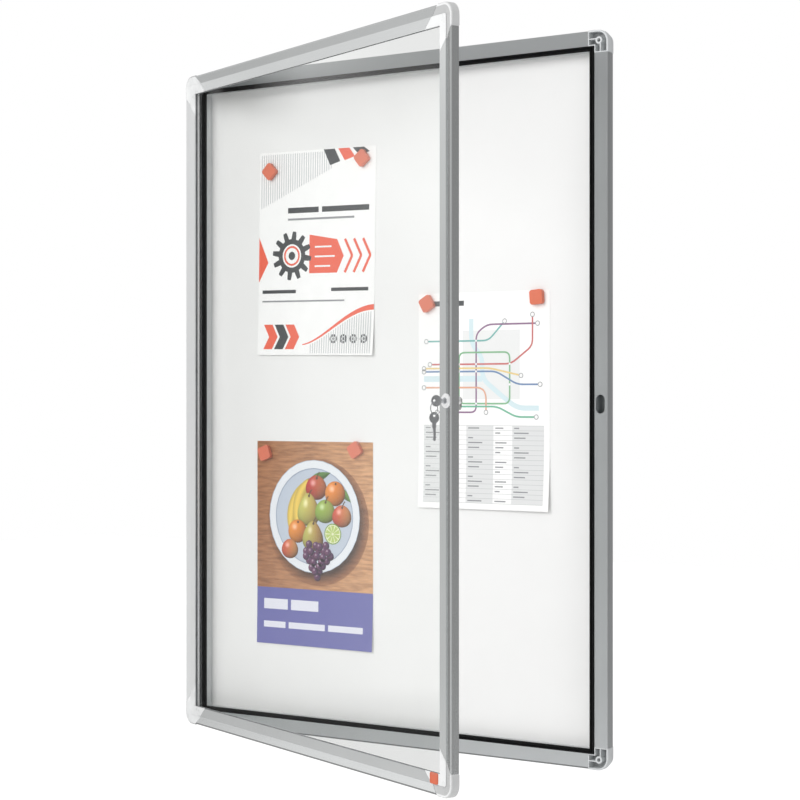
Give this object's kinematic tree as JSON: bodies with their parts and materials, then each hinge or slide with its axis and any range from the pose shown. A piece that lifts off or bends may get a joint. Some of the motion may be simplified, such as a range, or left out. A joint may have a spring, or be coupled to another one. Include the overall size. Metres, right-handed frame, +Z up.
{
  "type": "lockable notice board",
  "caption": "Wall-hung display case for A4 sheets: aluminium carcass, magnetic steel panel, glazed door hinged on the left with a cam lock and keys.",
  "frame": {"origin": "centre of the flat rear face that lies on the wall", "axes": "+X to the viewer's right, +Y into the wall, +Z up; the front faces -Y"},
  "size_m": [0.7139, 0.318, 0.968],
  "materials": {
    "carcass_aluminium": "satin anodised extrusion",
    "door_aluminium": "satin anodised extrusion",
    "corner_plastic": "grey moulded corner with ribs",
    "cap_plastic": "pale moulded corner cap",
    "seal_rubber": "black extruded seal",
    "gasket_rubber": "black glazing gasket",
    "white_steel": "white lacquered steel sheet",
    "backing": "grey laminated backing board",
    "clear_glass": "clear safety glass",
    "lock_chrome": "polished chrome",
    "zinc_plate": "zinc plated steel",
    "key_metal": "dull nickel plated key",
    "ring_metal": "steel split ring",
    "notice_upper_left_paper": "printed paper sheet",
    "notice_lower_left_paper": "printed paper sheet",
    "notice_right_paper": "printed paper sheet",
    "magnet_plastic": "orange moulded magnet"
  },
  "bodies": {
    "carcass": {"carcass_top_rail": "carcass_aluminium", "carcass_bottom_rail": "carcass_aluminium", "carcass_hinge_jamb": "carcass_aluminium", "carcass_lock_jamb": "carcass_aluminium", "carcass_corner_bottom_left": "corner_plastic", "carcass_corner_bottom_right": "corner_plastic", "carcass_corner_top_right": "corner_plastic", "carcass_corner_top_left": "corner_plastic", "seal_top": "seal_rubber", "seal_left": "seal_rubber", "seal_bottom": "seal_rubber", "seal_right": "seal_rubber", "backing_board": "backing", "steel_display_panel": "white_steel", "notice_upper_left": "notice_upper_left_paper", "notice_lower_left": "notice_lower_left_paper", "notice_right": "notice_right_paper", "magnet_1": "magnet_plastic", "magnet_2": "magnet_plastic", "magnet_3": "magnet_plastic", "magnet_4": "magnet_plastic", "magnet_5": "magnet_plastic", "magnet_6": "magnet_plastic"},
    "door": {"door_top_rail": "door_aluminium", "door_bottom_rail": "door_aluminium", "door_hinge_stile": "door_aluminium", "door_lock_stile": "door_aluminium", "door_cap_bottom_left": "cap_plastic", "door_cap_bottom_right": "cap_plastic", "door_cap_top_right": "cap_plastic", "door_cap_top_left": "cap_plastic", "glass_pane": "clear_glass", "glazing_gasket_top": "gasket_rubber", "glazing_gasket_left": "gasket_rubber", "glazing_gasket_bottom": "gasket_rubber", "glazing_gasket_right": "gasket_rubber", "lock_body": "lock_chrome", "lock_nut": "zinc_plate"},
    "plug": {"lock_plug": "lock_chrome", "lock_cam": "zinc_plate", "cam_screw": "zinc_plate"},
    "key": {"key": "key_metal"},
    "ring": {"key_ring": "ring_metal"},
    "spare": {"spare_key": "key_metal"}
  },
  "joints": [
    {"name": "door_hinge", "type": "hinge", "parent": "carcass", "child": "door", "pos_m": [-0.3497, -0.016, 0], "axis": [0, 0, -1], "range_deg": [-22.2, 82.8]},
    {"name": "lock_turn", "type": "hinge", "parent": "door", "child": "plug", "pos_m": [0.28914, -0.28362, -0.001], "axis": [0.3778, 0.9259, 0], "range_deg": [0, 90]},
    {"name": "key_slide", "type": "slide", "parent": "plug", "child": "key", "axis": [-0.3778, -0.9259, 0], "range_m": [0, 0.03]},
    {"name": "ring_swing", "type": "hinge", "parent": "key", "child": "ring", "pos_m": [0.27782, -0.31135, -0.0021], "axis": [-0.9259, 0.3778, 0], "range_deg": [-5, 60]},
    {"name": "spare_key_swing", "type": "hinge", "parent": "ring", "child": "spare", "pos_m": [0.27782, -0.31135, -0.0175], "axis": [-0.9259, 0.3778, 0], "range_deg": [-6, 45]}
  ]
}
